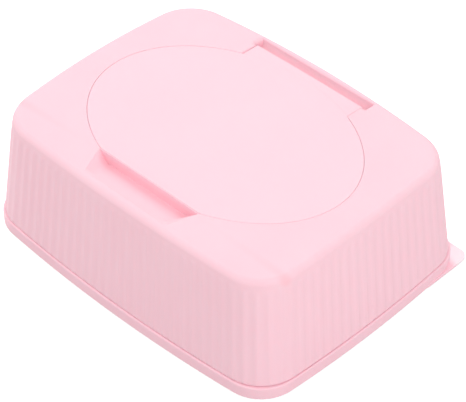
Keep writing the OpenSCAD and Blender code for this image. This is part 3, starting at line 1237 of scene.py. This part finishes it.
    def outlet_hole(self) -> bpy.types.Object:
        """Hole in the recess floor that the soft outlet buttons into.

        Returns:
            The cutter.
        """
        low, high = RECESS_Z - BOX.wall - OVER, RECESS_Z + OVER
        hole = stadium(self.outlet_l, self.outlet_w)
        return loft("outlet_hole", [level(hole, low), level(hole, high)])

    def lip(self) -> bpy.types.Object:
        """Lip that drops into the base cover.

        Returns:
            The lip, which bites into the wall's foot.
        """
        def plan(grow: float) -> Plan:
            """Plan of the wall's foot, grown."""
            return BOX.outline(FOOT_GROW + grow, BOX.corner + grow)

        top = LEVELS.wall_foot + BITE
        return band("lip", plan, soft_section(-BOX.wall, -self.lip_inset, LEVELS.lip, top, self.lip_r))

    def sill(self) -> bpy.types.Object:
        """Sill behind the scoop, which the catch tongue grips.

        Returns:
            The sill, with the ground that the scoop ends in.
        """
        half, back = LID.sill_half, LID.sill_y
        front = LID.recess_front - BITE
        top = BOX.dome(half, -LID.front) - LID.thickness - LID.gap

        def plan(extra: float) -> Plan:
            """Plan of the sill, grown."""
            return rectangle(half + extra, front - extra, back + extra)

        return puck("sill", plan, RECESS_Z - BITE, top, 0.0, self.sill_r)

    def cove(self) -> bpy.types.Object:
        """Hollow rounding between the scoop's floor and the sill's face.

        Returns:
            A bar that bites into both.
        """
        half, radius, steps = self.scoop_back_w / 2 + 2 * BITE, self.sill_cove_r, 12
        climb = BOX.dome(0, -self.scoop_front) - self.scoop_lip - RECESS_Z
        rise = climb / (self.scoop_front + LID.sill_face)
        tilt = math.atan(rise)
        y, z = LID.sill_face - radius, RECESS_Z + radius * (rise + 1 / math.cos(tilt))
        turns = [(math.pi / 2 + tilt) * i / steps for i in range(steps + 1)]
        arc = [(y + radius * math.cos(t), z - radius * math.sin(t)) for t in turns]
        low, back = RECESS_Z - BITE, LID.sill_face + BITE
        section = [(back, low), (back, z), *arc, (arc[-1][0], low)]
        return loft("cove", [[(x, *place) for place in section] for x in (-half, half)])

    def trough(self) -> bpy.types.Object:
        """Rear wall of the hinge slot, hollowed round the path of the tab's end.

        Returns:
            A bar whose hollow follows that path and then rounds up into the wall.
        """
        sweep = math.hypot(LID.tab_end - LID.hinge_y, LID.hinge_drop) + self.sweep_fit
        half, steps = LID.slot_l / 2 + BITE, 8
        back = LID.tab_end + LID.slot_w + BITE
        reach = back - BITE - self.trough_r - LID.hinge_y
        floor = -math.sqrt(sweep ** 2 - reach ** 2)
        low = math.atan2(floor, reach)
        turns = [-math.pi / 2 + (low + math.pi / 2) * i / steps for i in range(steps)]
        path = [(LID.hinge_y + sweep * math.cos(t), HINGE_Z + sweep * math.sin(t)) for t in turns]
        corner = (LID.hinge_y + reach + self.trough_r, HINGE_Z + floor)
        hollow = fillet(self.trough_r, steps)[::-1]
        rise = [(corner[0] - inset, corner[1] + drop) for drop, inset in hollow]
        wall = (back - BITE, BOX.dome(LID.slot_l / 2, back) - self.slot_rim_r)
        under = HINGE_Z - sweep - BITE
        section = [*path, *rise, wall, (back, wall[1]), (back, under), (LID.hinge_y, under)]
        return loft("trough", [[(x, *place) for place in section] for x in (-half, half)])


# ---- Lid ----


@dataclass
class FlipLid:
    """Oval lid with its hinge tab, barrel, pins, catch tongue and seal carrier."""

    seal_l: float = 112.0
    seal_w: float = 62.0
    seal_t: float = 3.0
    seal_h: float = 3.2
    seal_proud: float = 0.8
    groove_t: float = 1.2
    foot_r: float = 0.25
    tab_r: float = 0.6
    bar_r: float = 0.3
    tongue_r: float = 0.3
    tongue_corner_r: float = 0.5
    seal_r: float = 0.7

    def build(self, finish: bpy.types.Material) -> bpy.types.Object:
        """Builds and dresses the lid.

        Args:
            finish: its material.

        Returns:
            The finished lid.
        """
        lid = self.plate()
        pin_half = LID.tab_half + LID.gap + LID.pin_l
        parts = [
            self.tab(),
            hinge_bar("barrel", LID.tab_half, LID.barrel_r, self.bar_r),
            hinge_bar("pins", pin_half, LID.pin_r, self.bar_r),
            self.carrier(),
            self.tongue(),
        ]
        return dress(combine(lid, parts, Cut.JOIN), finish)

    def plate(self) -> bpy.types.Object:
        """Domed oval plate with a leaning, rounded edge.

        Returns:
            The plate.
        """
        under = LID.drawn_in(LID.edge_in + self.foot_r)
        below = dome_cap(under, LID.thickness)[::-1]
        foot = [
            BOX.on_dome(under, LID.thickness),
            BOX.on_dome(LID.drawn_in(LID.edge_in), LID.thickness - self.foot_r),
        ]
        head = [BOX.on_dome(LID.drawn_in(inset), drop) for drop, inset in fillet(LID.edge_r)]
        return loft("flip_lid", [*below, *foot, *head, *dome_cap(LID.drawn_in(LID.edge_r))])

    def tab(self) -> bpy.types.Object:
        """Tab that runs back from the oval to the barrel, rounded at its end and sides.

        Returns:
            The tab, whose front end lies inside the oval plate.
        """
        front = LID.width / 3
        widest = LID.tab_half + LID.swell
        soft = fillet(self.tab_r, 5)
        sides = [(widest - inset, drop) for drop, inset in soft]
        # Between its rounded sides the tab has a station at every fourth rounding, to follow the dome
        count = int(widest / self.tab_r)
        middle = [(i * self.tab_r, 0.0) for i in range(3 - count, count - 2, 4)]
        stations = [(-x, drop) for x, drop in sides] + middle + sides[::-1]
        rings = []
        for x, drop in stations:
            low = BOX.dome(x, front) - LID.tab_drop
            high = BOX.dome(x, LID.tab_end) - LID.tab_drop
            share = 1 - drop / self.tab_r
            end = [(x, LID.tab_end - inset, high - drop - share * fall) for fall, inset in soft]
            rings.append([
                (x, front, low - LID.thickness),
                (x, LID.tab_end, high - LID.thickness),
                *end,
                (x, front, low - drop),
            ])
        return loft("hinge_tab", rings)

    def carrier(self) -> bpy.types.Object:
        """Oval ring with a groove that holds the lid seal.

        Returns:
            The ring, which bites into the plate.
        """
        half = self.seal_t / 2
        outer = half + self.groove_t
        low = RECESS_Z + self.seal_proud
        roof = RECESS_Z + self.seal_h
        top = BOX.dome(self.seal_l / 2, 0) - LID.thickness / 3
        r = self.foot_r
        profile = [
            (outer, top), (-outer, top),
            (-outer, low + r), (-outer + r, low), (-half - r, low), (-half, low + r),
            (-half, roof), (half, roof),
            (half, low + r), (half + r, low), (outer - r, low), (outer, low + r),
        ]
        return band("seal_carrier", self.seal_plan, profile)

    def seal_plan(self, grow: float) -> Plan:
        """Plan of the seal's middle line, grown."""
        return ellipse(self.seal_l + 2 * grow, self.seal_w + 2 * grow)

    def tongue(self) -> bpy.types.Object:
        """Catch tongue that hangs under the lid's front.

        Returns:
            The tongue, which bites into the plate.
        """
        start = LID.sill_y + LID.catch_fit
        end = start + LID.catch_t
        top = BOX.dome(0, start) - LID.thickness / 2

        def plan(extra: float) -> Plan:
            """Plan of the tongue, grown."""
            corners = rectangle(LID.catch_w / 2 + extra, start - extra, end + extra)
            return rounded(corners, self.tongue_corner_r + extra)

        return puck("catch_tongue", plan, RECESS_Z + LID.gap, top, self.tongue_r, 0.0)

    def seal(self, finish: bpy.types.Material) -> bpy.types.Object:
        """Builds and dresses the soft ring in the carrier.

        Args:
            finish: its material.

        Returns:
            The finished seal.
        """
        half = self.seal_t / 2
        section = soft_section(-half, half, RECESS_Z, RECESS_Z + self.seal_h, self.seal_r)
        return dress(band("lid_seal_ring", self.seal_plan, section), finish)


# ---- Soft outlet ----


@dataclass
class SoftOutlet:
    """Soft insert with the slit that holds the next wipe."""

    length: float = 84.0
    width: float = 34.0
    lap: float = 3.0
    thickness: float = 1.2
    slit_l: float = 60.0
    slit_w: float = 6.0
    slit_d: float = 18.0
    lip_h: float = 1.4
    lip_t: float = 1.5
    face_r: float = 0.48
    seat_r: float = 0.1
    lip_r: float = 0.675
    hollow_r: float = 0.5

    def build(self, finish: bpy.types.Material) -> bpy.types.Object:
        """Builds and dresses the insert.

        Args:
            finish: its material.

        Returns:
            The finished insert.
        """
        top = RECESS_Z + self.thickness
        neck = RECESS_Z - BOX.wall
        low, high = neck - self.thickness, top + self.lip_h
        flange = puck("soft_outlet", self.plan(self.lap), RECESS_Z, top, self.seat_r, self.face_r)
        stem = puck("stem", self.plan(0), neck - BITE, RECESS_Z + BITE, 0.0, 0.0)
        bead = puck("bead", self.plan(self.lap / 2), low, neck, self.face_r, self.seat_r)
        lip = puck("lip", lambda grow: self.slit(self.lip_t + grow), RECESS_Z + BITE, high, 0.0,
                   self.lip_r)
        combine(flange, [stem, bead, lip], Cut.JOIN)
        inside = self.plan(-self.thickness)
        hollow = puck("hollow", inside, low - OVER, RECESS_Z, 0.0, self.hollow_r)
        combine(flange, [hollow, self.slit_cutter(high)], Cut.TAKE)
        return dress(flange, finish)

    def plan(self, lap: float) -> Grown:
        """Plan of the outlet with a given overlap, ready to be grown."""
        return lambda grow: stadium(self.length + 2 * (lap + grow), self.width + 2 * (lap + grow))

    def slit(self, grow: float) -> Plan:
        """Slit with a round middle, grown.

        Args:
            grow: growth on all sides, in mm.

        Returns:
            The plan, counterclockwise.
        """
        half, radius = self.slit_w / 2 + grow, self.slit_d / 2 + grow
        reach = (self.slit_l - self.slit_w) / 2
        end_steps, middle_steps = 16, 24
        turns = [math.pi * (i / end_steps - 0.5) for i in range(end_steps + 1)]
        right = [(reach + half * math.cos(t), half * math.sin(t)) for t in turns]
        first = math.asin(half / radius)
        arc = [first + (math.pi - 2 * first) * i / middle_steps for i in range(middle_steps + 1)]
        middle = [(radius * math.cos(t), radius * math.sin(t)) for t in arc]
        upper = right + middle
        return upper + [(-x, -y) for x, y in upper]

    def slit_cutter(self, top: float) -> bpy.types.Object:
        """Cutter through the membrane and the lip, with a rounded mouth.

        Args:
            top: height of the lip's top, in mm.

        Returns:
            The cutter.
        """
        foot = level(self.slit(0), RECESS_Z - OVER)
        rim = [level(self.slit(inset), top - drop) for drop, inset in fillet(self.lip_r)]
        return loft("slit", [foot, *rim, level(self.slit(self.lip_r), top + OVER)])


# ---- Base ----


@dataclass
class BaseCover:
    """Cover under the casing, with its band, floor, inner rim and pull tab."""

    ledge: float = 0.8
    corner_tuck: float = 1.2
    lip_inset: float = 1.0
    lip_fit: float = 0.25
    rim_t: float = 1.4
    rim_rise: float = 4.0
    rim_fit: float = 0.3
    pull_r: float = 5.0
    pull_end: float = 0.9
    pull_back: float = 3.2
    pull_reach: float = 34.0
    pull_top_r: float = 0.4
    top_r: float = 0.8
    channel_r: float = 0.3
    foot_r: float = 0.7
    rim_r: float = 0.3
    seal_r: float = 0.25
    pad_d: float = 14.0
    pad_t: float = 1.2
    pad_in: float = 25.0
    pad_fit: float = 0.1
    pad_foot_r: float = 0.35
    pad_head_r: float = 0.1

    @property
    def band_grow(self) -> float:
        """Growth of the plan at the band's outer face."""
        return FOOT_GROW + self.ledge

    @property
    def rim_inset(self) -> float:
        """Distance of the inner rim from the face of the casing's wall."""
        return BOX.wall + self.rim_rise * BOX.slope + self.rim_fit

    def build(self, finish: bpy.types.Material) -> bpy.types.Object:
        """Builds and dresses the cover.

        Args:
            finish: its material.

        Returns:
            The finished cover.
        """
        cover = puck("base_cover_shell", self.band_plan, LEVELS.foot_stand, LEVELS.band_top,
                     self.foot_r, self.top_r)
        combine(cover, [self.tray()], Cut.TAKE)
        combine(cover, [self.inner_rim(), self.pull_tab()], Cut.JOIN)
        combine(cover, [self.pocket(x, y) for x, y in self.pad_places()], Cut.TAKE)
        return dress(cover, finish)

    def band_plan(self, grow: float) -> Plan:
        """Plan of the band's outer face, grown."""
        return BOX.outline(self.band_grow + grow, BOX.corner - self.corner_tuck + grow)

    def channel_plan(self, grow: float) -> Plan:
        """Plan of the band's inner face, grown."""
        inset = self.lip_inset - self.lip_fit
        return BOX.outline(FOOT_GROW - inset + grow, BOX.corner - inset + grow)

    def rim_plan(self, grow: float) -> Plan:
        """Plan of the inner rim's outer face, grown."""
        return BOX.outline(FOOT_GROW - self.rim_inset + grow, BOX.corner - self.rim_inset + grow)

    def tray(self) -> bpy.types.Object:
        """Room inside the band, with a rounded upper edge.

        Returns:
            The cutter.
        """
        high, plan = LEVELS.band_top, self.channel_plan
        rim = [level(plan(inset), high - drop) for drop, inset in fillet(self.channel_r)]
        return loft("tray", [
            level(plan(0), LEVELS.floor), *rim, level(plan(self.channel_r), high + OVER),
        ])

    def inner_rim(self) -> bpy.types.Object:
        """Rim that stands inside the casing's wall.

        Returns:
            The rim, which bites into the floor.
        """
        low, high = LEVELS.floor - BITE, LEVELS.wall_foot + self.rim_rise
        return band("inner_rim", self.rim_plan, soft_section(-self.rim_t, 0, low, high, self.rim_r))

    def pull_tab(self) -> bpy.types.Object:
        """Thin squared corner that a fingertip pulls to open the cover.

        Returns:
            The tab, which reaches well into the floor.
        """
        x = BOX.length / 2 + self.band_grow - self.pull_end
        y = BOX.width / 2 + self.band_grow - self.pull_back
        left, low = x - self.pull_reach, y - self.pull_reach

        def plan(grow: float) -> Plan:
            """Plan of the tab, grown at its two free sides."""
            tip = [(x + grow, low), (x + grow, y + grow), (left, y + grow)]
            return rounded([(left, low), *tip], self.pull_r + grow, 12)

        return puck("pull_tab", plan, LEVELS.foot_stand, LEVELS.floor, self.foot_r, self.pull_top_r)

    def pad_places(self) -> Plan:
        """Middles of the four foot pads.

        Returns:
            One point for each pad.
        """
        x = BOX.length / 2 + self.band_grow - self.pad_in
        y = BOX.width / 2 + self.band_grow - self.pad_in
        return [(sx * x, sy * y) for sx in (-1, 1) for sy in (-1, 1)]

    def pocket(self, x: float, y: float) -> bpy.types.Object:
        """Round pocket for one foot pad."""
        ring = circle(self.pad_d / 2 + self.pad_fit, (x, y))
        return loft("pocket", [level(ring, -OVER), level(ring, self.pad_t)])

    def seal(self, finish: bpy.types.Material) -> bpy.types.Object:
        """Builds and dresses the soft ring in the cover's channel.

        Args:
            finish: its material.

        Returns:
            The finished seal.
        """
        low, high, r = LEVELS.floor, LEVELS.lip, self.seal_r
        outer, inner = self.channel_plan, self.rim_plan
        ring = closed_band("base_seal_ring", [
            level(outer(0), low), level(outer(0), high - r), level(outer(-r), high),
            level(inner(r), high), level(inner(0), high - r), level(inner(0), low),
        ])
        return dress(ring, finish)

    def pads(self, finish: bpy.types.Material) -> bpy.types.Object:
        """Builds and dresses the four foot pads, as copies of one pad.

        Args:
            finish: their material.

        Returns:
            One mesh of four pads.
        """
        pad = puck("foot_pads", lambda grow: circle(self.pad_d / 2 + grow), 0.0, self.pad_t,
                   self.pad_foot_r, self.pad_head_r)
        tree = new_tree("pads_at_corners", ("Span X", "Span Y"))
        sizes = add(tree, "NodeGroupInput").outputs
        corners = add(tree, "GeometryNodeMeshGrid", {
            "Size X": sizes["Span X"], "Size Y": sizes["Span Y"], "Vertices X": 2, "Vertices Y": 2,
        })
        copies = add(tree, "GeometryNodeInstanceOnPoints", {
            "Points": corners, "Instance": sizes["Geometry"],
        })
        end_tree(tree, copies, sizes["Finish"])
        x, y = (2 * abs(c) * MM for c in self.pad_places()[0])
        return smooth(run_tree(pad, tree, {"Span X": x, "Span Y": y, "Finish": finish}))


# ---- Camera, light and floor ----


@dataclass(frozen=True)
class PhotoCamera:
    """Camera at the photograph's viewing angle."""

    frame_px: tuple[int, int] = (466, 402)
    focal_px: float = 2160.9
    azimuth: float = 44.863
    elevation: float = 41.819
    roll: float = -0.472
    distance: float = 1038.7
    target: Point = (0.0, 0.0, 30.6)
    target_px: tuple[float, float] = (224.12, 190.38)
    sensor: float = 36.0
    clip: tuple[float, float] = (0.05, 20.0)

    def build(self) -> bpy.types.Object:
        """Places the camera and makes it the scene's own.

        Returns:
            The camera object.
        """
        width, height = self.frame_px
        data = bpy.data.cameras.new("photo_camera")
        data.sensor_fit = "HORIZONTAL"
        data.sensor_width = self.sensor
        data.lens = self.focal_px / width * self.sensor
        data.shift_x = (width / 2 - self.target_px[0]) / width
        data.shift_y = (self.target_px[1] - height / 2) / width
        data.clip_start, data.clip_end = self.clip
        az, el = math.radians(self.azimuth), math.radians(self.elevation)
        back = Vector((math.sin(az) * math.cos(el), -math.cos(az) * math.cos(el), math.sin(el)))
        camera = bpy.data.objects.new("photo_camera", data)
        camera.rotation_mode = "QUATERNION"
        turn = back.to_track_quat("Z", "Y")
        roll = Quaternion((0, 0, 1), math.radians(self.roll))
        camera.rotation_quaternion = turn @ roll
        camera.location = (Vector(self.target) + back * self.distance) * MM
        bpy.context.scene.collection.objects.link(camera)
        bpy.context.scene.camera = camera
        return camera


@dataclass(frozen=True)
class Softbox:
    """Large diffuse lamp that looks at the box."""

    name: str
    place: Point
    size: tuple[float, float]
    power: float

    def build(self) -> None:
        """Hangs the lamp."""
        data = bpy.data.lights.new(self.name, "AREA")
        data.shape = "RECTANGLE"
        data.size, data.size_y = (s * MM for s in self.size)
        data.energy = self.power
        lamp = bpy.data.objects.new(self.name, data)
        lamp.location = Vector(self.place) * MM
        lamp.rotation_mode = "QUATERNION"
        lamp.rotation_quaternion = lamp.location.to_track_quat("Z", "Y")
        bpy.context.scene.collection.objects.link(lamp)


@dataclass
class Studio:
    """White table, plain white surroundings and soft lamps."""

    table: float = 6000.0
    ambient: float = 0.62
    table_glow: float = 0.72
    paper: str = "#cdcbcb"
    lamps: tuple[Softbox, ...] = (
        Softbox("overhead_softbox", (-150.0, -250.0, 1500.0), (1500.0, 1500.0), 4.4),
        Softbox("left_softbox", (-1250.0, -550.0, 600.0), (1000.0, 900.0), 5.8),
        Softbox("right_softbox", (1280.0, -380.0, 600.0), (1000.0, 900.0), 7.4),
        Softbox("front_softbox", (-300.0, -1300.0, 900.0), (1100.0, 1100.0), 0.5),
        Softbox("rear_softbox", (-700.0, 1000.0, 1000.0), (1100.0, 1100.0), 6.2),
    )

    def build(self) -> None:
        """Sets the table, the surroundings and the lamps."""
        self.build_table()
        self.build_world()
        for lamp in self.lamps:
            lamp.build()

    def build_table(self) -> None:
        """Makes the white table top that keeps the box's shadow."""
        half = self.table / 2
        table = make_object("table_top", level(rectangle(half, -half, half), 0.0), [[0, 1, 2, 3]])
        material = bpy.data.materials.new("paper_matte_white")
        material.use_nodes = True
        tree = material.node_tree
        tree.nodes.clear()
        paper = add(tree, "ShaderNodeBsdfDiffuse", {"Color": linear(self.paper)})
        glow = add(tree, "ShaderNodeEmission", {"Color": WHITE, "Strength": self.table_glow})
        sight = self.seen(tree)
        lit = add(tree, "ShaderNodeMixShader", {0: sight, 2: glow})
        both = add(tree, "ShaderNodeAddShader", {0: paper, 1: lit})
        add(tree, "ShaderNodeOutputMaterial", {"Surface": both})
        table.data.materials.append(material)

    def seen(self, tree: bpy.types.NodeTree) -> bpy.types.NodeSocket:
        """Finds the rays that show the surroundings, straight, in a gloss or through glass.

        Args:
            tree: the material's or the world's tree.

        Returns:
            An output that is 1 for those rays.
        """
        path = add(tree, "ShaderNodeLightPath").outputs
        gloss = add(tree, "ShaderNodeMath", {
            0: path["Is Camera Ray"], 1: path["Is Glossy Ray"],
        }, operation="MAXIMUM")
        both = add(tree, "ShaderNodeMath", {
            0: gloss.outputs["Value"], 1: path["Is Transmission Ray"],
        }, operation="MAXIMUM")
        return both.outputs["Value"]

    def build_world(self) -> None:
        """Makes the surroundings plain white to look at and softly bright to be lit by."""
        world = bpy.data.worlds.new("white_surroundings")
        world.use_nodes = True
        bpy.context.scene.world = world
        tree = world.node_tree
        tree.nodes.clear()
        strength = add(tree, "ShaderNodeMapRange", {
            "Value": self.seen(tree), "To Min": self.ambient, "To Max": 1.0,
        })
        light = add(tree, "ShaderNodeBackground", {"Color": WHITE, "Strength": strength})
        add(tree, "ShaderNodeOutputWorld", {"Surface": light})


def main() -> None:
    """Builds the studio and every piece of the box."""
    logging.basicConfig(level=logging.INFO, format="%(name)s %(message)s")
    bpy.context.scene.view_settings.view_transform = "Standard"
    PhotoCamera().build()
    Studio().build()
    shell = PINK_SHELL.material()
    cover = PINK_COVER.material()
    fine = PINK_LID.material()
    milky = MILKY_ELASTOMER.material()
    silicone = CLEAR_SILICONE.material()
    hand_in(Casing().build(shell), Body.CASING, ["casing"])
    hand_in(SoftOutlet().build(milky), Body.CASING, ["outlet_insert"])
    lid = FlipLid()
    hand_in(lid.build(fine), Body.LID, ["lid"])
    hand_in(lid.seal(silicone), Body.LID, ["lid_seal"])
    base = BaseCover()
    hand_in(base.build(cover), Body.BASE, ["base_cover"])
    hand_in(base.seal(silicone), Body.BASE, ["base_seal"])
    feet = [f"foot_{end}_{side}" for end in ("front", "rear") for side in ("left", "right")]
    hand_in(base.pads(silicone), Body.BASE, feet)


if __name__ == "__main__":
    main()
